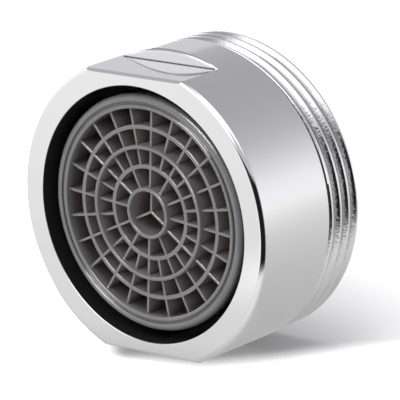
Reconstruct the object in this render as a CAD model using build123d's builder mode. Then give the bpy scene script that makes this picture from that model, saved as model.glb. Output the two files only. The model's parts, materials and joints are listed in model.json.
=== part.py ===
from build123d import *
import os

# Tap aerator: a plated metal housing with an outside thread and two spanner flats, and the moulded
# insert that it holds. The axis is Y, with the outlet towards -Y and the flats square to Z. The origin
# is on the axis, half way along the thread. Lengths are millimetres and angles are degrees. A depth is
# measured from the outlet face towards the inlet.

# Housing, thread end
thread_diameter = 23.8
thread_length = 3.3
thread_lead_chamfer = 0.2
undercut_width = 0.4
undercut_depth = 0.5

# Housing, body and spanner flats
body_diameter = 24.0
body_length = 7.7
body_rear_chamfer = 0.12
front_edge_radius = 0.4
flat_depth = 1.0
flat_length = 4.2
flat_front_chamfer = 0.2
flat_shoulder_chamfer = 0.12

# Housing, inside
wall_under_undercut = 0.85
wall_under_flat = 0.95
outlet_bore_chamfer = 0.1
ledge_depth = 7.2
ledge_width = 0.5
inlet_bore_chamfer = 0.15

# Fits between the pieces, as radial clearances
insert_clearance = 0.1
air_gap = 0.77
inner_disc_clearance = 0.08
washer_dome_clearance = 0.3

# Insert shell: skirt, rim and flange
rim_depth = 0.65
skirt_wall = 0.92
rim_lip_width = 0.33
rim_groove_width = 0.2
rim_groove_depth = 0.2
rim_groove_chamfer = 0.07
rim_edge_radius = 0.42
flange_thickness = 1.2
flange_chamfer = 0.15
air_window_count = 8
air_window_width = 4.2
air_window_height = 1.5
air_window_gap = 0.35

# Insert shell: outlet grille, turned a little against the flats
grille_back_depth = 3.4
grille_ledge = 0.2
proud_ring_depth = 0.64
low_ring_depth = 0.98
hub_radius = 1.87
ring_spread = (0.2675, 0.51, 0.745)
ring_is_proud = (False, True, False)
ring_width = 0.31
ring_crest_radius = 0.1
rib_thickness = 0.19
inner_rib_count = 12
outer_rib_count = 24
hub_web_count = 3
hub_web_depth = 1.15
insert_turn = 5.65

# Mixing grid
mixing_grid_depth = 4.0
mixing_grid_thickness = 0.8
mixing_ring_width = 0.4
mixing_hub_radius = 1.1
mixing_ring_count = 3
mixing_rib_count = 12
mixing_rib_thickness = 0.3

# Jet plate
jet_plate_thickness = 1.2
jet_plate_ledge = 0.45
jet_count = 12
jet_diameter = 0.8
jet_inset = 2.2
jet_cone_radius = 2.6
jet_cone_height = 1.1

# Strainer
brim_thickness = 0.9
dome_brim_width = 2.7
dome_height = 2.0
dome_slope_width = 1.0
dome_wall = 0.7
dome_edge_radius = 0.5
hole_size = 0.75
hole_ring_count = 4
hole_edge_margin = 0.6
holes_per_ring_step = 6
side_slot_count = 24
side_slot_width = 0.6
side_slot_margin = 0.35

# Sealing washer
washer_thickness = 2.6
washer_edge_chamfer = 0.15

# Room that a cutting shape has beyond the wall that it cuts, and how near a plane counts as on it
cut_margin = 1.0
on_plane = 0.001

# Places along the axis
thread_start_y = -thread_length / 2
inlet_y = thread_length / 2 + thread_lead_chamfer
shoulder_y = thread_start_y - undercut_width
outlet_y = shoulder_y - body_length
flat_shoulder_y = outlet_y + flat_length
ledge_y = outlet_y + ledge_depth
rim_y = outlet_y + rim_depth
proud_ring_y = outlet_y + proud_ring_depth
low_ring_y = outlet_y + low_ring_depth
hub_web_y = outlet_y + hub_web_depth
grille_back_y = outlet_y + grille_back_depth
mixing_seat_y = outlet_y + mixing_grid_depth
flange_top_y = ledge_y + flange_thickness
jet_seat_y = flange_top_y - jet_plate_thickness
air_window_y = mixing_seat_y + mixing_grid_thickness + air_window_gap
brim_top_y = flange_top_y + brim_thickness
dome_top_y = brim_top_y + dome_height

# Radii, from the outside in. The outlet bore leaves its full wall under the undercut and under the flats
body_radius = body_diameter / 2
flat_height = body_radius - flat_depth
thread_radius = thread_diameter / 2
undercut_radius = thread_radius - undercut_depth
outlet_bore_radius = min(undercut_radius - wall_under_undercut - ledge_width, flat_height - wall_under_flat)
inlet_bore_radius = outlet_bore_radius + ledge_width
flange_radius = inlet_bore_radius - insert_clearance
skirt_radius = outlet_bore_radius - air_gap
chamber_radius = skirt_radius - skirt_wall
grille_radius = chamber_radius - grille_ledge
rim_lip_radius = grille_radius + rim_lip_width
jet_seat_radius = chamber_radius + jet_plate_ledge
mixing_grid_radius = chamber_radius - inner_disc_clearance
jet_plate_radius = jet_seat_radius - inner_disc_clearance
dome_base_radius = flange_radius - dome_brim_width
dome_top_radius = dome_base_radius - dome_slope_width
washer_bore_radius = dome_base_radius + washer_dome_clearance

# The grille's rings are spread between the hub and the middle of the rim's lip
rim_lip_middle = grille_radius + rim_lip_width / 2
ring_radii = [hub_radius + share * (rim_lip_middle - hub_radius) for share in ring_spread]
first_rib_angle = 90 - insert_turn


def across(y):
    """Plane square to the axis at y, as seen from the outlet: local x is +X and local y is +Z."""
    return Plane(origin=(0, y, 0), x_dir=(1, 0, 0), z_dir=(0, -1, 0))


def corner(section, first, second):
    """The corner of a section that lies at a place on its plane."""
    return section.vertices().sort_by_distance((first, second, 0))[0]


# Housing: turned section, then the milled flats and their broken edges
with BuildPart() as housing:
    with BuildSketch(Plane.XY) as housing_section:
        with BuildLine():
            Polyline(
                (outlet_bore_radius, outlet_y),
                (body_radius, outlet_y),
                (body_radius, shoulder_y),
                (undercut_radius, shoulder_y),
                (undercut_radius, thread_start_y),
                (thread_radius, thread_start_y),
                (thread_radius, inlet_y),
                (inlet_bore_radius, inlet_y),
                (inlet_bore_radius, ledge_y),
                (outlet_bore_radius, ledge_y),
                close=True,
            )
        make_face()
        fillet(corner(housing_section, body_radius, outlet_y), radius=front_edge_radius)
        chamfer(corner(housing_section, outlet_bore_radius, outlet_y), length=outlet_bore_chamfer)
        chamfer(corner(housing_section, body_radius, shoulder_y), length=body_rear_chamfer)
        chamfer(corner(housing_section, thread_radius, inlet_y), length=thread_lead_chamfer)
        chamfer(corner(housing_section, inlet_bore_radius, inlet_y), length=inlet_bore_chamfer)
    revolve(axis=Axis.Y)
    with BuildSketch(Plane.YZ):
        with BuildLine():
            Polyline(
                (outlet_y - cut_margin, flat_height - flat_front_chamfer - cut_margin),
                (outlet_y + flat_front_chamfer, flat_height),
                (flat_shoulder_y, flat_height),
                (flat_shoulder_y, body_radius + cut_margin),
                (outlet_y - cut_margin, body_radius + cut_margin),
                close=True,
            )
        make_face()
        mirror(about=Plane.XZ)
    extrude(amount=body_radius + cut_margin, both=True, mode=Mode.SUBTRACT)
    shoulder_arcs = (
        housing.edges()
        .filter_by(GeomType.CIRCLE)
        .filter_by(lambda edge: abs(edge.center().Y - flat_shoulder_y) < on_plane)
    )
    chamfer(shoulder_arcs, length=flat_shoulder_chamfer)

# Insert shell: skirt, rim and flange in one turned section, then the grille's rings, ribs and hub web
with BuildPart() as outlet_shell:
    with BuildSketch(Plane.XY) as shell_section:
        with BuildLine():
            Polyline(
                (grille_radius, rim_y),
                (rim_lip_radius, rim_y),
                (rim_lip_radius, rim_y + rim_groove_depth),
                (rim_lip_radius + rim_groove_width, rim_y + rim_groove_depth),
                (rim_lip_radius + rim_groove_width, rim_y),
                (skirt_radius, rim_y),
                (skirt_radius, ledge_y),
                (flange_radius, ledge_y),
                (flange_radius, flange_top_y),
                (jet_seat_radius, flange_top_y),
                (jet_seat_radius, jet_seat_y),
                (chamber_radius, jet_seat_y),
                (chamber_radius, mixing_seat_y),
                (grille_radius, mixing_seat_y),
                close=True,
            )
        make_face()
        fillet(corner(shell_section, skirt_radius, rim_y), radius=rim_edge_radius)
        fillet(corner(shell_section, grille_radius, rim_y), radius=ring_crest_radius)
        for groove_side in (rim_lip_radius, rim_lip_radius + rim_groove_width):
            chamfer(corner(shell_section, groove_side, rim_y), length=rim_groove_chamfer)
        chamfer(corner(shell_section, flange_radius, ledge_y), length=flange_chamfer)
        chamfer(corner(shell_section, flange_radius, flange_top_y), length=flange_chamfer)
    revolve(axis=Axis.Y)
    crest_places = [proud_ring_y] + [proud_ring_y if proud else low_ring_y for proud in ring_is_proud]
    for ring_radius, crest_y in zip([hub_radius] + ring_radii, crest_places):
        with BuildSketch(Plane.XY) as ring_section:
            with Locations((ring_radius, crest_y)):
                Rectangle(ring_width, grille_back_y - crest_y, align=(Align.CENTER, Align.MIN))
            if crest_y == proud_ring_y:
                fillet(ring_section.vertices().group_by(Axis.Y)[0], radius=ring_crest_radius)
        revolve(axis=Axis.Y)
    with BuildSketch(across(low_ring_y)):
        with PolarLocations(ring_radii[0], outer_rib_count, start_angle=first_rib_angle):
            Rectangle(rim_lip_middle - ring_radii[0], rib_thickness, align=(Align.MIN, Align.CENTER))
        with PolarLocations(hub_radius, inner_rib_count, start_angle=first_rib_angle):
            Rectangle(ring_radii[0] - hub_radius, rib_thickness, align=(Align.MIN, Align.CENTER))
    extrude(amount=low_ring_y - grille_back_y)
    with BuildSketch(across(hub_web_y)):
        with PolarLocations(0, hub_web_count, start_angle=first_rib_angle):
            Rectangle(hub_radius, rib_thickness, align=(Align.MIN, Align.CENTER))
    extrude(amount=hub_web_y - grille_back_y)
    skirt_middle = (chamber_radius + skirt_radius) / 2
    with BuildSketch(across(air_window_y)):
        with PolarLocations(skirt_middle, air_window_count, start_angle=first_rib_angle):
            Rectangle(skirt_wall + cut_margin, air_window_width)
    extrude(amount=-air_window_height, mode=Mode.SUBTRACT)

# Mixing grid: a disc of rings and ribs on the ledge behind the grille
with BuildPart() as mixing_grid:
    mixing_ring_step = (mixing_grid_radius - mixing_ring_width / 2) / (mixing_ring_count + 1)
    with BuildSketch(across(mixing_seat_y)):
        for ring_number in range(mixing_ring_count + 1, 1, -1):
            ring_radius = ring_number * mixing_ring_step
            Circle(ring_radius + mixing_ring_width / 2)
            Circle(ring_radius - mixing_ring_width / 2, mode=Mode.SUBTRACT)
        Circle(mixing_hub_radius)
        with PolarLocations(0, mixing_rib_count, start_angle=first_rib_angle):
            Rectangle(
                (mixing_ring_count + 1) * mixing_ring_step,
                mixing_rib_thickness,
                align=(Align.MIN, Align.CENTER),
            )
    extrude(amount=-mixing_grid_thickness)

# Jet plate: a disc in the shell's upper recess, with a cone that spreads the water to its ring of jets
with BuildPart() as jet_plate:
    with BuildSketch(Plane.XY):
        with BuildLine():
            Polyline(
                (0, jet_seat_y),
                (jet_plate_radius, jet_seat_y),
                (jet_plate_radius, flange_top_y),
                (jet_cone_radius, flange_top_y),
                (0, flange_top_y + jet_cone_height),
                close=True,
            )
        make_face()
    revolve(axis=Axis.Y)
    with BuildSketch(across(jet_seat_y)):
        with PolarLocations(jet_plate_radius - jet_inset, jet_count, start_angle=first_rib_angle):
            Circle(jet_diameter / 2)
    extrude(amount=-jet_plate_thickness, mode=Mode.SUBTRACT)

# Strainer: a brim on the flange and a low dome with fine holes, open towards the jets
with BuildPart() as strainer:
    with BuildSketch(Plane.XY) as strainer_section:
        with BuildLine():
            Polyline(
                (dome_base_radius - dome_wall, flange_top_y),
                (flange_radius, flange_top_y),
                (flange_radius, brim_top_y),
                (dome_base_radius, brim_top_y),
                (dome_top_radius, dome_top_y),
                (0, dome_top_y),
                (0, dome_top_y - dome_wall),
                (dome_top_radius - dome_wall, dome_top_y - dome_wall),
                (dome_base_radius - dome_wall, brim_top_y),
                close=True,
            )
        make_face()
        fillet(corner(strainer_section, dome_top_radius, dome_top_y), radius=dome_edge_radius)
    revolve(axis=Axis.Y)
    hole_ring_step = (dome_top_radius - dome_wall - hole_edge_margin) / hole_ring_count
    with BuildSketch(across(dome_top_y)):
        Rectangle(hole_size, hole_size)
        for ring_number in range(1, hole_ring_count + 1):
            with PolarLocations(ring_number * hole_ring_step, ring_number * holes_per_ring_step):
                Rectangle(hole_size, hole_size)
    extrude(amount=dome_wall, mode=Mode.SUBTRACT)
    side_slot_height = dome_height - dome_wall - side_slot_margin
    with BuildSketch(across(brim_top_y + side_slot_margin)):
        with PolarLocations(dome_base_radius - dome_wall, side_slot_count):
            Rectangle(2 * dome_slope_width + dome_wall, side_slot_width)
    extrude(amount=-side_slot_height, mode=Mode.SUBTRACT)

# Sealing washer: a flat ring on the strainer's brim, standing a little proud of the housing
with BuildPart() as sealing_washer:
    with BuildSketch(across(brim_top_y)):
        Circle(flange_radius)
        Circle(washer_bore_radius, mode=Mode.SUBTRACT)
    extrude(amount=-washer_thickness)
    chamfer(sealing_washer.edges().group_by(Axis.Y)[-1], length=washer_edge_chamfer)

os.makedirs("parts", exist_ok=True)
pieces = {
    "housing": housing,
    "outlet_shell": outlet_shell,
    "mixing_grid": mixing_grid,
    "jet_plate": jet_plate,
    "strainer": strainer,
    "sealing_washer": sealing_washer,
}
for name, piece in pieces.items():
    piece.part.label = name
    export_step(piece.part, f"parts/{name}.step")
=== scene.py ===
import json
import math

import bmesh
import bpy
from mathutils import Matrix, Vector

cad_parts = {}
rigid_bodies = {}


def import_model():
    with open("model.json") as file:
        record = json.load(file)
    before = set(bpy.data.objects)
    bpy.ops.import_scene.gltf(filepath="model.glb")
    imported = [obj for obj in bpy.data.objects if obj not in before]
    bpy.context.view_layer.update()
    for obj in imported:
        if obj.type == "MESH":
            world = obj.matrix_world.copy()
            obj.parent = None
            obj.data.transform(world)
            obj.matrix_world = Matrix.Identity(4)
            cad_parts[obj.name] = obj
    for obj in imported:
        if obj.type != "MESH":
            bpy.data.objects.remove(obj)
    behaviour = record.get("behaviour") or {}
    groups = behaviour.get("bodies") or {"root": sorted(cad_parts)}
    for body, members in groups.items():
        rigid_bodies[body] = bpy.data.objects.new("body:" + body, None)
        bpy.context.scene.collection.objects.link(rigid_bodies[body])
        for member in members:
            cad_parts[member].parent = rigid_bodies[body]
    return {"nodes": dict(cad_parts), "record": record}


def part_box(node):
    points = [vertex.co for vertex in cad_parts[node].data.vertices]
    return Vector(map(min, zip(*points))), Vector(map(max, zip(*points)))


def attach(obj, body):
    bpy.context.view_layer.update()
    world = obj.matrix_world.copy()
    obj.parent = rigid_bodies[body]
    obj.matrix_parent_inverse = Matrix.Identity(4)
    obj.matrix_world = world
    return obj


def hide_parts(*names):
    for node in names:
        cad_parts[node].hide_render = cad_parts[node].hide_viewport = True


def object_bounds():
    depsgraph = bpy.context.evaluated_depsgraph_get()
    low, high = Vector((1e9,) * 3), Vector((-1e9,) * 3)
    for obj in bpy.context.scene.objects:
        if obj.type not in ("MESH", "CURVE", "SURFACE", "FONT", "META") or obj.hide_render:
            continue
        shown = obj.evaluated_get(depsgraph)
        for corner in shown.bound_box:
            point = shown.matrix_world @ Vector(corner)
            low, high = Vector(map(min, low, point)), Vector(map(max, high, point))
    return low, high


# A plated tap aerator on a white floor. Lengths are metres, as the frame's are, and MM turns millimetres
# into them. The axis is Y with the outlet towards -Y, the spanner flats are square to Z, and +Z is up.
MM = 0.001

for left_over in list(bpy.data.objects):
    bpy.data.objects.remove(left_over)
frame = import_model()
cad_low, cad_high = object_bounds()
nodes = frame["nodes"]

# Places read from the frame
housing_low, housing_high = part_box("housing")
outlet_y = housing_low.y
inlet_y = housing_high.y
floor_z = cad_low.z
body_radius = housing_high.x
mounts = {mount["name"]: mount for mount in frame["record"]["mounts"]}
thread_radius = mounts["thread"]["dims"]["r_mm"] * MM
thread_length = mounts["thread"]["dims"]["length_mm"] * MM
thread_start_y = -thread_length / 2
flat_height = mounts["spanner_flat_top"]["pos_m"][2]

# Edges of the housing, as the solid has them
front_edge_radius = 0.4 * MM
bore_radius = 10.05 * MM
bore_chamfer = 0.1 * MM
undercut_width = 0.4 * MM
rear_chamfer = 0.12 * MM
flat_length = 4.2 * MM
shoulder_y = thread_start_y - undercut_width
flat_shoulder_y = outlet_y + flat_length

# Corner radius that the milling leaves at the foot of the flats' shoulders, and the shoulders' broken
# edges, whose normals turn from the first to the second share of a quarter turn
flat_corner_radius = 0.1 * MM
flat_corner_steps = 6
flat_shoulder_chamfer = 0.22 * MM
flat_shoulder_roll = (0.06, 0.66)
shoulder_steps = 48

# Rolled rear edge of the body, which leaves a narrow gap in front of the thread
rear_edge_y = shoulder_y + 0.18 * MM
rear_edge_length = 0.13 * MM
rear_edge_drop = 0.1 * MM
rear_edge_turn = math.radians(38)

# Thread cut, and the foot of its first flank below the roots
thread_pitch = 1.0 * MM
thread_depth = 0.48 * MM
thread_crest_width = 0.185 * MM
thread_crest_lean = math.radians(-3)
thread_crest_roll = math.radians(9)
thread_flank_angle = math.radians(30)
thread_first_crest_y = -1.42 * MM
thread_steps_per_turn = 144
first_flank_foot = 0.12 * MM
groove_clearance = 0.04 * MM

# Meshing: how far a cutter reaches past what it cuts, how deep an added form is buried, how far inside
# the crest counts as the crest, and how close places count as one
cutter_reach = 0.2 * MM
bury = 0.05 * MM
crest_margin = 0.02 * MM
same_place = 0.01 * MM
sliver = 0.0003 * MM
seam = 0.0001 * MM

# Colours and greys of the plating: bright, on the thread's flanks, painted light on the flanks' low and
# high sides, and the painted shade of its dark places
polish_colours = ((0.855, 0.853, 0.858, 1), (0.885, 0.883, 0.888, 1))
flank_greys = (0.42, 0.74)
low_flank_painted_grey = 0.82
high_flank_painted_grey = 0.67
root_shade_grey = 0.16
gap_shade_grey = 0.12
bore_shade_grey = 0.014

# Colours of the plastics, dark, light and the warm one that is painted light down in the cells, and of the
# rubber
grey_plastic_colours = ((0.15, 0.147, 0.147, 1), (0.192, 0.189, 0.19, 1), (0.265, 0.22, 0.205, 1))
pale_plastic_colours = ((0.68, 0.68, 0.66, 1), (0.75, 0.75, 0.73, 1), (0.72, 0.72, 0.7, 1))
rubber_colours = ((0.016, 0.016, 0.017, 1), (0.04, 0.04, 0.042, 1))

# Camera, fitted to the photograph: it looks at a point set off from the outlet's centre in its own right
# and up directions
camera_azimuth = math.radians(41.119)
camera_elevation = math.radians(15.554)
camera_roll = math.radians(-3.308)
camera_distance = 301.317 * MM
aim_right = 4.457 * MM
aim_up = 1.189 * MM
picture_pixels = 400
focal_pixels = 3984.1
sensor_width = 36.0

# Lamps, with angles in degrees, and the way that the first one's shadow falls
lamp_azimuth = -46
lamp_elevation = 66
lamp_energy = 2.0
lamp_angle = 68
shadow_azimuth = lamp_azimuth + 180
edge_lamp_azimuth = 16
edge_lamp_elevation = 52
edge_lamp_energy = 5.0
edge_lamp_angle = 34

# Floor: half its size, its greys, and the middle and reach of the painted shade that the plating sees
floor_half_size = 2.0
floor_greys = (0.8, 0.81)
dim_middle = 4 * MM
dim_reach = 60 * MM

# Room: its light, and its glow at the horizon, which is stronger to the right and fades with height
room_tint = (0.98, 0.98, 1.025, 1)
room_light = 0.40
horizon_glow = 0.465
horizon_glow_to_right = 0.2
horizon_height = 0.42

# Round lobes of the room: azimuth, elevation, inner and outer angle in degrees, and strength. The first
# ones set the room's light, and the mirrored ones add to it for reflections only.
room_lobes = (
    (-105, 52, 8, 26, 0.2),  # dark patch high on the left
    (-82, 1, 28, 38, 1.1),  # white wall on the left
    (-139, 15.5, 6, 13, 0.68),  # grey patch behind on the left
    (-65, 45, 7, 13, 0.49),  # grey patch high at the front left
    (-43, 3, 8, 17, 0.95),  # white patch low at the front left
    (-8, 38, 21, 31, 1.8),  # softbox above the front
)
mirrored_lobes = (
    (98, 63, 6, 34, 1.1),  # high on the right
    (20, 50, 8, 24, 0.8),  # above the front
)

# Dark card: the middle of its arc, its first azimuth and its turn in degrees, its steps, and its profile
# in millimetres out from the middle and up from the floor
card_middle = Vector((0, -6 * MM, 0))
card_azimuth = -5
card_turn = 110
card_steps = 32
card_profile = ((16, 0.05), (26, 0.05), (33, 3), (37, 10), (40, 22), (40, 38))
card_black = (0.012, 0.012, 0.014, 1)


def direction(azimuth, elevation):
    """Unit vector: azimuth 0 is -Y and 90 is +X, in degrees."""
    turn, height = math.radians(azimuth), math.radians(elevation)
    level = math.cos(height)
    return Vector((math.sin(turn) * level, -math.cos(turn) * level, math.sin(height)))


def new_object(name, data):
    """An object for a mesh, a camera or a lamp, linked to the scene."""
    made = bpy.data.objects.new(name, data)
    bpy.context.scene.collection.objects.link(made)
    return made


def mesh_from(bm, name):
    """A mesh from a bmesh, which is freed."""
    mesh = bpy.data.meshes.new(name)
    bm.to_mesh(mesh)
    bm.free()
    return mesh


def swept(name, rings, closed, looped=False):
    """An object whose faces join each ring of places to the next. A closed one has round rings, and two
    end caps if its last ring isn't joined to its first."""
    bm = bmesh.new()
    rows = [[bm.verts.new(place) for place in ring] for ring in rings]
    following_rows = rows[1:] + rows[:1] if looped else rows[1:]
    for row, following in zip(rows, following_rows):
        last = len(row) if closed else len(row) - 1
        for side in range(last):
            other = (side + 1) % len(row)
            bm.faces.new((row[side], row[other], following[other], following[side]))
    if closed and not looped:
        bm.faces.new(rows[0])
        bm.faces.new(rows[-1])
    bmesh.ops.recalc_face_normals(bm, faces=bm.faces)
    return new_object(name, mesh_from(bm, name))


# Housing: a copy of the solid with milled corners and a helical thread


def welded_copy(node, name):
    """A copy of a solid's mesh with its seams welded."""
    bm = bmesh.new()
    bm.from_mesh(nodes[node].data)
    bmesh.ops.remove_doubles(bm, verts=bm.verts, dist=seam)
    return new_object(name, mesh_from(bm, name))


def roll_rear_edge(piece):
    """Draws the body's rear edge out towards the thread."""
    for vertex in piece.data.vertices:
        place = vertex.co
        radius = math.hypot(place.x, place.z)
        drawn = radius
        if abs(place.y - shoulder_y) < same_place:
            place.y = rear_edge_y
            if radius > body_radius - 1.5 * rear_chamfer:
                drawn = body_radius - rear_edge_drop
        elif abs(place.y - shoulder_y + rear_chamfer) < same_place and radius > thread_radius:
            place.y = rear_edge_y - rear_edge_length
        place.x *= drawn / radius
        place.z *= drawn / radius


def combine(piece, tool, operation):
    """Joins a tool to a piece or cuts it out of the piece, and deletes the tool."""
    step = piece.modifiers.new("step", "BOOLEAN")
    step.operation = operation
    step.solver = "EXACT"
    step.object = tool
    graph = bpy.context.evaluated_depsgraph_get()
    made = bpy.data.meshes.new_from_object(piece.evaluated_get(graph))
    piece.modifiers.clear()
    piece.data = made
    bpy.data.objects.remove(tool)


def corner_fill(side):
    """The small cove at the foot of a flat's shoulder. Side is 1 for the upper flat and -1 for the
    lower."""
    lowest = flat_corner_radius * 1.1
    half_width = math.sqrt(body_radius ** 2 - (flat_height + lowest) ** 2)
    section = []
    for step in range(flat_corner_steps + 1):
        turn = math.pi / 2 * step / flat_corner_steps
        along = flat_shoulder_y - flat_corner_radius + flat_corner_radius * math.sin(turn)
        up = flat_height + flat_corner_radius - flat_corner_radius * math.cos(turn)
        section.append((along, up))
    section.append((flat_shoulder_y + bury, flat_height + flat_corner_radius))
    section.append((flat_shoulder_y + bury, flat_height - bury))
    section.append((flat_shoulder_y - flat_corner_radius, flat_height - bury))
    rings = [[(x, along, side * up) for along, up in section] for x in (-half_width, half_width)]
    return swept("corner_fill", rings, closed=True)


def shoulder_cutter(side):
    """A wedge that breaks a shoulder's curved edge, from the flat's one end to the other."""
    half_turn = math.acos(flat_height / body_radius)
    section = [
        (body_radius - flat_shoulder_chamfer - cutter_reach, flat_shoulder_y - cutter_reach),
        (body_radius + cutter_reach, flat_shoulder_y + flat_shoulder_chamfer + cutter_reach),
        (body_radius + cutter_reach, flat_shoulder_y - cutter_reach),
    ]
    rings = []
    for step in range(shoulder_steps + 1):
        angle = half_turn * (2 * step / shoulder_steps - 1)
        ring = []
        for radius, along in section:
            up = max(radius * math.cos(angle), flat_height)
            ring.append((radius * math.sin(angle), along, side * up))
        rings.append(ring)
    return swept("shoulder_cutter", rings, closed=True)


def first_flank():
    """A cone in the undercut, where the thread's first flank comes down to the body."""
    top = thread_radius - crest_margin
    root = thread_radius - thread_depth - first_flank_foot
    slope = math.tan(thread_flank_angle)
    section = [
        (root, thread_start_y + bury),
        (top, thread_start_y + bury),
        (top, thread_start_y - crest_margin * slope),
        (root, thread_start_y - (thread_radius - root) * slope),
    ]
    rings = []
    for step in range(thread_steps_per_turn):
        angle = 2 * math.pi * step / thread_steps_per_turn
        right, up = math.cos(angle), math.sin(angle)
        rings.append([(radius * right, along, radius * up) for radius, along in section])
    return swept("first_flank", rings, closed=True, looped=True)


def groove_cutter():
    """A closed helical wedge that fills the thread's groove, a little taller than the crest. It starts in
    the undercut."""
    crest_half_gap = (thread_pitch - thread_crest_width) / 2
    slope = math.tan(thread_flank_angle)
    root_half_gap = crest_half_gap - thread_depth * slope
    section = [
        (thread_radius + cutter_reach, -crest_half_gap - cutter_reach * slope),
        (thread_radius - thread_depth, -root_half_gap),
        (thread_radius - thread_depth, root_half_gap),
        (thread_radius + cutter_reach, crest_half_gap + cutter_reach * slope),
    ]
    lowest_y = rear_edge_y + groove_clearance
    groove_y = thread_first_crest_y - thread_pitch / 2
    first_turn = (lowest_y - root_half_gap - groove_y) / thread_pitch
    last_turn = (inlet_y + thread_pitch - groove_y) / thread_pitch
    first_step = math.ceil(first_turn * thread_steps_per_turn) + 1
    last_step = math.ceil(last_turn * thread_steps_per_turn)
    rings = []
    for step in range(first_step, last_step):
        turn = step / thread_steps_per_turn
        angle = 2 * math.pi * turn
        ring = []
        for radius, along in section:
            along_y = max(groove_y + turn * thread_pitch + along, lowest_y)
            ring.append((radius * math.cos(angle), along_y, -radius * math.sin(angle)))
        rings.append(ring)
    return swept("groove_cutter", rings, closed=True)


def rolled(first, last, share):
    """A normal turned from one direction to another, square to it, by a share of the quarter turn."""
    turn = math.pi / 2 * min(max(share, 0), 1)
    return first * math.cos(turn) + last * math.sin(turn)


def true_normal(place, face_normal, face_middle):
    """The true normal at a corner of the housing, with its narrow chamfers rolled round as broken edges
    are."""
    out = Vector((place.x, 0, place.z))
    radius = out.length
    out /= radius
    forward = Vector((0, -1, 0))
    upward = Vector((0, 0, math.copysign(1, place.z)))
    middle_radius = math.hypot(face_middle.x, face_middle.z)
    middle_y = face_middle.y

    milled = abs(face_normal.x) < 0.001 and face_normal.z * face_middle.z > 0.1 * abs(face_middle.z)
    by_flat = abs(face_middle.z) > flat_height - 0.5 * MM and middle_y < flat_shoulder_y
    if milled and by_flat:
        if abs(face_normal.z) < 0.999 and middle_y > flat_shoulder_y - flat_corner_radius:
            return rolled(upward, forward, (abs(place.z) - flat_height) / flat_corner_radius)
        return face_normal

    edge_radius = body_radius - front_edge_radius
    edge_y = outlet_y + front_edge_radius
    if middle_radius > edge_radius and middle_y < edge_y:
        return (out * (radius - edge_radius) + Vector((0, place.y - edge_y, 0))).normalized()

    across = math.hypot(face_normal.x, face_normal.z)
    if face_normal.x * face_middle.x + face_normal.z * face_middle.z < 0:
        across = -across
    by_bore_edge = middle_y < outlet_y + bore_chamfer and middle_radius < bore_radius + bore_chamfer
    if by_bore_edge and across < -0.5:
        return rolled(forward, -out, (place.y - outlet_y) / bore_chamfer)

    past_shoulder = middle_y - flat_shoulder_y
    by_shoulder_edge = middle_radius > body_radius - flat_shoulder_chamfer
    if by_shoulder_edge and 0 < past_shoulder < flat_shoulder_chamfer and 0.5 < across < 0.9:
        least, most = flat_shoulder_roll
        share = (place.y - flat_shoulder_y) / flat_shoulder_chamfer
        return rolled(forward, out, least + (most - least) * share)

    by_rear_edge = middle_radius > body_radius - rear_edge_drop
    if by_rear_edge and 0 < rear_edge_y - middle_y < rear_edge_length:
        turn = rear_edge_turn * (1 - (rear_edge_y - place.y) / rear_edge_length)
        return out * math.cos(turn) - forward * math.sin(turn)

    on_thread = min(place.y, middle_y) > thread_start_y
    if on_thread and across > 0.99 and radius > thread_radius - crest_margin:
        helix_turn = math.atan2(-place.z, place.x) / (2 * math.pi)
        turns = (place.y - thread_first_crest_y) / thread_pitch - helix_turn
        off_middle = (turns - round(turns)) * thread_pitch / (thread_crest_width / 2)
        lean = thread_crest_lean + thread_crest_roll * min(max(off_middle, -1), 1)
        return out * math.cos(lean) - forward * math.sin(lean)

    return (out * across + Vector((0, face_normal.y, 0))).normalized()


def drop_slivers(piece):
    """Takes out the faces without area that the cuts leave."""
    bm = bmesh.new()
    bm.from_mesh(piece.data)
    bmesh.ops.remove_doubles(bm, verts=bm.verts, dist=sliver)
    bmesh.ops.dissolve_degenerate(bm, edges=bm.edges, dist=sliver)
    bm.to_mesh(piece.data)
    bm.free()


def set_true_normals(piece):
    """Gives each face corner of the housing its true normal, so that the polish reflects without
    facets."""
    mesh = piece.data
    normals = []
    for polygon in mesh.polygons:
        polygon.use_smooth = True
        for corner in polygon.vertices:
            normals.append(true_normal(mesh.vertices[corner].co, polygon.normal, polygon.center))
    mesh.normals_split_custom_set(normals)


def threaded_housing():
    """The housing with its milled corners and its helical thread."""
    housing = welded_copy("housing", "threaded_housing")
    roll_rear_edge(housing)
    for side in (1, -1):
        combine(housing, corner_fill(side), "UNION")
        combine(housing, shoulder_cutter(side), "DIFFERENCE")
    combine(housing, first_flank(), "UNION")
    combine(housing, groove_cutter(), "DIFFERENCE")
    drop_slivers(housing)
    set_true_normals(housing)
    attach(housing, "root")
    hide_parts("housing")
    return housing


# Materials


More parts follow.
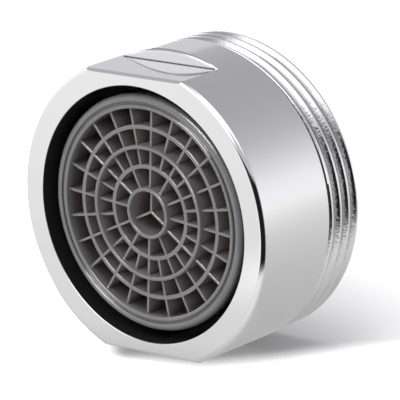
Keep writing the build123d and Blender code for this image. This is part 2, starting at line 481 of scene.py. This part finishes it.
class Tree:
    """A node tree with short calls. A value is a number, a vector, a colour or another node's output."""

    def __init__(self, owner):
        owner.use_nodes = True
        self.owner = owner
        self.nodes = owner.node_tree.nodes
        self.links = owner.node_tree.links
        self.nodes.clear()

    def put(self, socket, value):
        """Links an output to a socket, or sets the socket to a value."""
        if isinstance(value, bpy.types.NodeSocket):
            self.links.new(value, socket)
        else:
            socket.default_value = value

    def add(self, kind, output=0, settings=None, **inputs):
        """A node with its settings and inputs. An input's name has _ for a space. Returns an output, or
        the node if the output is None."""
        node = self.nodes.new("ShaderNode" + kind)
        for name, value in (settings or {}).items():
            setattr(node, name, value)
        for name, value in inputs.items():
            self.put(node.inputs[name.replace("_", " ")], value)
        return node if output is None else node.outputs[output]

    def in_order(self, kind, values, output=0, settings=None):
        """A node whose first inputs take the values in order. Returns an output."""
        node = self.add(kind, None, settings)
        for socket, value in zip(node.inputs, values):
            self.put(socket, value)
        return node.outputs[output]

    def math(self, operation, *values):
        """A math operation on the values."""
        return self.in_order("Math", values, settings={"operation": operation})

    def product(self, first, *others):
        """The product of the values."""
        for other in others:
            first = self.math("MULTIPLY", first, other)
        return first

    def total(self, first, *others):
        """The sum of the values."""
        for other in others:
            first = self.math("ADD", first, other)
        return first

    def length(self, first, second):
        """The length that two parts at right angles give."""
        return self.math("SQRT", self.total(self.product(first, first), self.product(second, second)))

    def dot(self, first, second):
        """The dot product of two vectors."""
        settings = {"operation": "DOT_PRODUCT"}
        return self.in_order("VectorMath", (first, second), "Value", settings)

    def parts(self, vector):
        """The three parts of a vector."""
        return self.add("SeparateXYZ", None, Vector=vector).outputs

    def ramp(self, value, low, high, least=0.0, most=1.0):
        """A smooth step from least at low to most at high."""
        return self.add(
            "MapRange", 0, {"interpolation_type": "SMOOTHSTEP"},
            Value=value, From_Min=low, From_Max=high, To_Min=least, To_Max=most,
        )

    def place(self):
        """Object coordinates."""
        return self.add("TexCoord", "Object")

    def noise(self, size, detail=2.0, roughness=0.5):
        """Noise of about 0 to 1 with features of a size in metres."""
        return self.add(
            "TexNoise", 0, Vector=self.place(), Scale=1 / size, Detail=detail, Roughness=roughness,
        )

    def mix_colour(self, factor, first, second, blend="MIX"):
        """A mix of two colours."""
        node = self.add("Mix", None, {"data_type": "RGBA", "blend_type": blend})
        self.put(node.inputs["Factor"], factor)
        self.put(node.inputs[6], first)
        self.put(node.inputs[7], second)
        return node.outputs[2]

    def finish(self, shader, kind="OutputMaterial"):
        """Links a shader to the tree's output."""
        self.add(kind, None, Surface=shader)
        return self.owner


def material_tree(name):
    """An empty node tree of a new material."""
    return Tree(bpy.data.materials.new(name))


def grey(level):
    """A neutral colour."""
    return (level, level, level, 1)


def chrome_material():
    """Bright plating, dull and grainy on the thread's flanks, with painted light on their low and high
    sides.
    Painted shade darkens the thread's roots near the top, the gap before the thread and inside the bore."""
    tree = material_tree("chrome_plating")
    x, y, z = tree.parts(tree.place())
    radius = tree.length(x, z)
    outside = tree.ramp(radius, bore_radius + 0.7 * MM, bore_radius + 0.8 * MM)
    below_crest = tree.ramp(radius, thread_radius - 0.01 * MM, thread_radius - 0.05 * MM)
    behind_body = tree.ramp(y, rear_edge_y + 0.01 * MM, rear_edge_y + 0.03 * MM)
    flank = tree.product(outside, below_crest, behind_body)
    # Painted light on the flanks' low and high sides, for how light falls there
    low_side = tree.ramp(z, 0.0, -5 * MM)
    high_side = tree.ramp(z, 6.3 * MM, 8.6 * MM)
    # Painted shade in the thread's roots, towards the top only
    root = tree.product(
        tree.ramp(radius, thread_radius - 0.36 * MM, thread_radius - 0.46 * MM),
        tree.ramp(z, 3.5 * MM, 6 * MM),
    )
    # Painted shade in the narrow gap before the thread
    gap = tree.product(
        tree.ramp(y, rear_edge_y - 0.1 * MM, rear_edge_y - 0.05 * MM),
        tree.ramp(y, rear_edge_y + 0.09 * MM, rear_edge_y + 0.04 * MM),
        tree.ramp(z, -5 * MM, -2 * MM),
        tree.ramp(z, 10.4 * MM, 8.6 * MM),
        outside,
    )
    # The bore's wall is not metal, and is painted near black as the shade inside the bore
    bore = tree.ramp(radius, bore_radius + 0.06 * MM, bore_radius + 0.01 * MM)
    polish = tree.mix_colour(tree.noise(6 * MM), *polish_colours)
    grain = tree.noise(0.2 * MM, detail=1.5, roughness=0.6)
    dull_and_painted_shading = tree.mix_colour(grain, grey(flank_greys[0]), grey(flank_greys[1]))
    # Painted light on the flanks' low and high sides, and painted shade in the roots near the top
    dull_and_painted_shading = tree.mix_colour(low_side, dull_and_painted_shading, grey(low_flank_painted_grey))
    dull_and_painted_shading = tree.mix_colour(high_side, dull_and_painted_shading, grey(high_flank_painted_grey))
    dull_and_painted_shading = tree.mix_colour(root, dull_and_painted_shading, grey(root_shade_grey))
    colour = tree.mix_colour(flank, polish, dull_and_painted_shading)
    colour = tree.mix_colour(gap, colour, grey(gap_shade_grey))
    colour = tree.mix_colour(bore, colour, grey(bore_shade_grey))
    streak = tree.ramp(tree.noise(0.8 * MM, detail=4), 0.3, 0.7, 0.05, 0.09)
    rough = tree.math("MULTIPLY_ADD", flank, 0.08, streak)
    relief = tree.product(flank, tree.ramp(z, 6.8 * MM, 9 * MM, 0.5, 0.12))
    bump = tree.add("Bump", 0, Height=grain, Strength=relief, Distance=0.05 * MM)
    metal = tree.math("SUBTRACT", 1.0, bore)
    shader = tree.add(
        "BsdfPrincipled", 0, Base_Color=colour, Metallic=metal, Roughness=rough,
        Specular_IOR_Level=0.1, Normal=bump,
    )
    return tree.finish(shader)


def plastic_material(name, colours, gloss, edge, deep_shade=1.0):
    """Moulded plastic: two close shades, a fine grain and burnished, softened edges. Painted shade darkens
    its corners, and down in the cells it is as dark as the deep shade says, in warm painted light."""
    dark, light, painted_warm = colours
    tree = material_tree(name)
    x, y, z = tree.parts(tree.place())
    shade = tree.mix_colour(tree.noise(1.5 * MM, detail=3), dark, light)
    # Warm painted light down in the cells
    painted_warmth = tree.ramp(y, outlet_y + 0.7 * MM, outlet_y + 2.2 * MM)
    shade = tree.mix_colour(painted_warmth, shade, painted_warm)
    # Painted shade in corners, as dark as they are hidden
    hidden = tree.add("AmbientOcclusion", "AO", {"samples": 8}, Distance=0.4 * MM)
    corner = tree.ramp(hidden, 0.1, 0.9, 0.5, 1.0)
    # Painted shade that deepens down in the cells
    depth_shade = tree.ramp(y, outlet_y + 0.7 * MM, outlet_y + 3.4 * MM, 1.0, deep_shade)
    by_rim = tree.ramp(tree.length(x, z), 7.4 * MM, 7.9 * MM)
    under_rim = tree.ramp(y, outlet_y + 0.7 * MM, outlet_y + 1.6 * MM, 0.0, 1.0 - deep_shade)
    rim_shadow = tree.math("SUBTRACT", 1.0, tree.product(by_rim, under_rim))
    shadow = tree.product(corner, depth_shade, rim_shadow)
    colour = tree.mix_colour(1.0, shade, shadow, "MULTIPLY")
    rounded = tree.add("Bevel", 0, {"samples": 8}, Radius=edge)
    grain = tree.noise(0.05 * MM, detail=2)
    bump = tree.add("Bump", 0, Height=grain, Strength=0.15, Distance=0.01 * MM, Normal=rounded)
    rough = tree.ramp(tree.noise(0.4 * MM), 0.3, 0.7, gloss - 0.05, gloss + 0.05)
    burnished = tree.ramp(tree.dot(tree.add("NewGeometry", "Normal"), rounded), 0.98, 0.8)
    shader = tree.add(
        "BsdfPrincipled", 0, Base_Color=colour, Roughness=rough, Specular_IOR_Level=0.6, Normal=bump,
        Coat_Weight=burnished, Coat_IOR=2.2, Coat_Roughness=0.12, Coat_Normal=rounded,
    )
    return tree.finish(shader)


def rubber_material():
    """Black rubber with a faint bloom."""
    tree = material_tree("black_rubber")
    bloom = tree.noise(0.7 * MM, detail=4, roughness=0.6)
    colour = tree.mix_colour(bloom, *rubber_colours)
    bump = tree.add("Bump", 0, Height=tree.noise(0.08 * MM), Strength=0.3, Distance=0.02 * MM)
    rough = tree.ramp(bloom, 0.3, 0.7, 0.5, 0.68)
    shader = tree.add("BsdfPrincipled", 0, Base_Color=colour, Roughness=rough, Normal=bump)
    return tree.finish(shader)


def dress(piece, material):
    """Gives a piece its one material."""
    piece.data.materials.clear()
    piece.data.materials.append(material)


# Picture: camera, floor, room, lamps and dark card


def camera_axes():
    """The camera's right, up and back directions in the frame."""
    back = direction(math.degrees(camera_azimuth), math.degrees(camera_elevation))
    level = Vector((math.cos(camera_azimuth), math.sin(camera_azimuth), 0))
    right = math.cos(camera_roll) * level + math.sin(camera_roll) * back.cross(level)
    return right, back.cross(right), back


def make_camera():
    """The camera of the photograph."""
    right, up, back = camera_axes()
    data = bpy.data.cameras.new("camera")
    data.sensor_width = sensor_width
    data.lens = sensor_width * focal_pixels / picture_pixels
    data.clip_start = 0.01
    data.clip_end = 10
    camera = new_object("camera", data)
    place = Vector((0, outlet_y, 0)) + aim_right * right + aim_up * up + camera_distance * back
    axes = Matrix((right, up, back)).transposed().to_4x4()
    camera.matrix_world = Matrix.Translation(place) @ axes
    bpy.context.scene.camera = camera


def painted_floor_glow(tree, x, behind):
    """The glow that the camera sees on the floor: painted light that leaves only the part's shadow, which
    fades to white."""
    away = direction(shadow_azimuth, 0)
    along = tree.total(tree.product(x, away.x), tree.product(behind, away.y))
    across = tree.math("SUBTRACT", tree.product(x, away.y), tree.product(behind, away.x))
    near_end = tree.ramp(along, -1 * MM, 5 * MM, 2.4 * MM, 0.0)
    far_end = tree.ramp(along, 8 * MM, 14 * MM, 0.0, 0.9 * MM)
    front = tree.ramp(tree.total(across, near_end, far_end), -2.2 * MM, 3.2 * MM, 0.03, 1.0)
    left = tree.ramp(along, -1.6 * MM, -4.4 * MM)
    far = tree.ramp(along, 10 * MM, 24 * MM, 0.0, 0.25)
    return tree.total(front, left, far)


def painted_floor_reflection(tree, x, behind):
    """The floor's brightness that the plating mirrors, painted: painted shade dims it towards the part,
    and painted light brightens it beside the part, ahead of it and far to the left."""
    away_x = tree.math("DIVIDE", x, dim_reach)
    away_y = tree.math("DIVIDE", tree.math("SUBTRACT", behind, dim_middle), dim_reach)
    near = tree.math("EXPONENT", tree.product(tree.length(away_x, away_y), -1))
    dim = tree.ramp(behind, 4 * MM, -8 * MM, -0.57, -0.28)
    plain = tree.math("MULTIPLY_ADD", near, dim, 0.99)
    beside = tree.product(
        tree.ramp(x, 4 * MM, 12 * MM), tree.ramp(behind, 8 * MM, 3 * MM, 0.0, 0.12),
    )
    to_left = tree.product(
        tree.ramp(x, -16 * MM, -28 * MM), tree.ramp(behind, -6 * MM, 2 * MM, 0.0, 4.0),
    )
    ahead = tree.product(
        tree.ramp(x, -16 * MM, -4 * MM), tree.ramp(behind, -12 * MM, -28 * MM, 0.0, 0.35),
    )
    return tree.total(plain, beside, to_left, ahead)


def make_floor():
    """A white floor, which the camera and the plating see in their own ways."""
    low, high = -floor_half_size, floor_half_size
    front_row = [(low, low, floor_z), (high, low, floor_z)]
    back_row = [(low, high, floor_z), (high, high, floor_z)]
    floor = swept("floor", [front_row, back_row], closed=False)
    tree = material_tree("floor")
    x, y, z = tree.parts(tree.place())
    behind = tree.math("SUBTRACT", y, outlet_y)
    paths = tree.add("LightPath", None).outputs
    colour = tree.mix_colour(tree.noise(3 * MM), grey(floor_greys[0]), grey(floor_greys[1]))
    diffuse = tree.add("BsdfDiffuse", 0, Color=colour)
    white = tree.product(paths["Is Camera Ray"], painted_floor_glow(tree, x, behind))
    seen = tree.in_order("AddShader", (diffuse, tree.add("Emission", 0, Strength=white)))
    mirrored = tree.add("Emission", 0, Strength=painted_floor_reflection(tree, x, behind))
    mixed = tree.in_order("MixShader", (paths["Is Glossy Ray"], seen, mirrored))
    dress(floor, tree.finish(mixed))


def lobe(tree, ray, azimuth, elevation, inner, outer):
    """How far a ray lies in a round lobe: 1 within the inner angle and 0 beyond the outer, in degrees."""
    facing = tree.dot(ray, direction(azimuth, elevation))
    return tree.ramp(facing, math.cos(math.radians(outer)), math.cos(math.radians(inner)))


def make_world():
    """A pale room with a glow along the horizon and round lobes. The camera sees it plain white."""
    world = bpy.data.worlds.new("studio")
    bpy.context.scene.world = world
    tree = Tree(world)
    ray = tree.add("TexCoord", "Generated")
    x, y, z = tree.parts(ray)
    height = tree.math("DIVIDE", z, horizon_height)
    glow = tree.math("EXPONENT", tree.product(height, height, -1))
    glow_strength = tree.math("MULTIPLY_ADD", x, horizon_glow_to_right, horizon_glow)
    light = tree.math("MULTIPLY_ADD", glow, glow_strength, room_light)
    for azimuth, elevation, inner, outer, strength in room_lobes:
        inside = lobe(tree, ray, azimuth, elevation, inner, outer)
        light = tree.math("MULTIPLY_ADD", inside, tree.math("SUBTRACT", strength, light), light)
    paths = tree.add("LightPath", None).outputs
    for azimuth, elevation, inner, outer, strength in mirrored_lobes:
        inside = lobe(tree, ray, azimuth, elevation, inner, outer)
        inside = tree.product(inside, paths["Is Glossy Ray"])
        light = tree.math("MULTIPLY_ADD", inside, strength, light)
    to_white = tree.math("SUBTRACT", 1.0, light)
    light = tree.math("MULTIPLY_ADD", paths["Is Camera Ray"], to_white, light)
    background = tree.add("Background", 0, Color=room_tint, Strength=light)
    tree.finish(background, "OutputWorld")


def far_lamp(name, azimuth, elevation, energy, angle):
    """A far lamp that shines from a direction. Its own angle is its size in the sky."""
    data = bpy.data.lights.new(name, "SUN")
    data.energy = energy
    data.angle = math.radians(angle)
    lamp = new_object(name, data)
    lamp.rotation_euler = direction(azimuth, elevation).to_track_quat("Z", "Y").to_euler()
    return lamp


def make_lamp():
    """A broad lamp to the left of the camera, which casts the floor's shadow to the right."""
    lamp = far_lamp("lamp", lamp_azimuth, lamp_elevation, lamp_energy, lamp_angle)
    lamp.visible_glossy = False


def make_edge_lamp(pieces):
    """A smaller lamp that only puts glints on the edges of the moulded pieces."""
    lamp = far_lamp(
        "edge_lamp", edge_lamp_azimuth, edge_lamp_elevation, edge_lamp_energy, edge_lamp_angle,
    )
    lamp.visible_diffuse = False
    lit = bpy.data.collections.new("edge_lamp_lit")
    for piece in pieces:
        lit.objects.link(piece)
    lamp.light_linking.receiver_collection = lit


def make_dark_card():
    """A curved dark card beside the camera, which only reflections show. It rises from the floor in
    front."""
    columns = []
    for step in range(card_steps + 1):
        toward = direction(card_azimuth + card_turn * step / card_steps, 0)
        column = []
        for radius, up in card_profile:
            column.append(card_middle + radius * MM * toward + Vector((0, 0, floor_z + up * MM)))
        columns.append(column)
    card = swept("dark_card", columns, closed=False)
    tree = material_tree("dark_card")
    settings = {"operation": "SUBTRACT"}
    offset = tree.in_order("VectorMath", (tree.place(), card_middle), settings=settings)
    x, y, z = tree.parts(offset)
    side = tree.math("ARCTAN2", x, tree.product(y, -1))
    left = tree.ramp(side, math.radians(-2), math.radians(20))
    right = tree.ramp(side, math.radians(102), math.radians(78))
    top = tree.ramp(z, 18 * MM, 11 * MM)
    near = tree.ramp(tree.length(x, y), 22 * MM, 28 * MM)
    dark = tree.product(left, right, top, near)
    clear = tree.add("BsdfTransparent")
    black = tree.add("Emission", 0, Color=card_black)
    dress(card, tree.finish(tree.in_order("MixShader", (dark, clear, black))))
    card.visible_camera = False
    card.visible_diffuse = False
    card.visible_shadow = False
    card.visible_transmission = False


grey_plastic = plastic_material(
    "grey_plastic", grey_plastic_colours, gloss=0.2, edge=0.07 * MM, deep_shade=0.56,
)
pale_plastic = plastic_material("pale_plastic", pale_plastic_colours, gloss=0.4, edge=0.06 * MM)
dress(threaded_housing(), chrome_material())
for node, material in (
    ("outlet_shell", grey_plastic),
    ("mixing_grid", grey_plastic),
    ("jet_plate", pale_plastic),
    ("strainer", pale_plastic),
    ("sealing_washer", rubber_material()),
):
    dress(nodes[node], material)

make_camera()
make_floor()
make_world()
make_lamp()
make_edge_lamp([nodes["outlet_shell"], nodes["mixing_grid"]])
make_dark_card()
bpy.context.scene.view_settings.view_transform = "Standard"
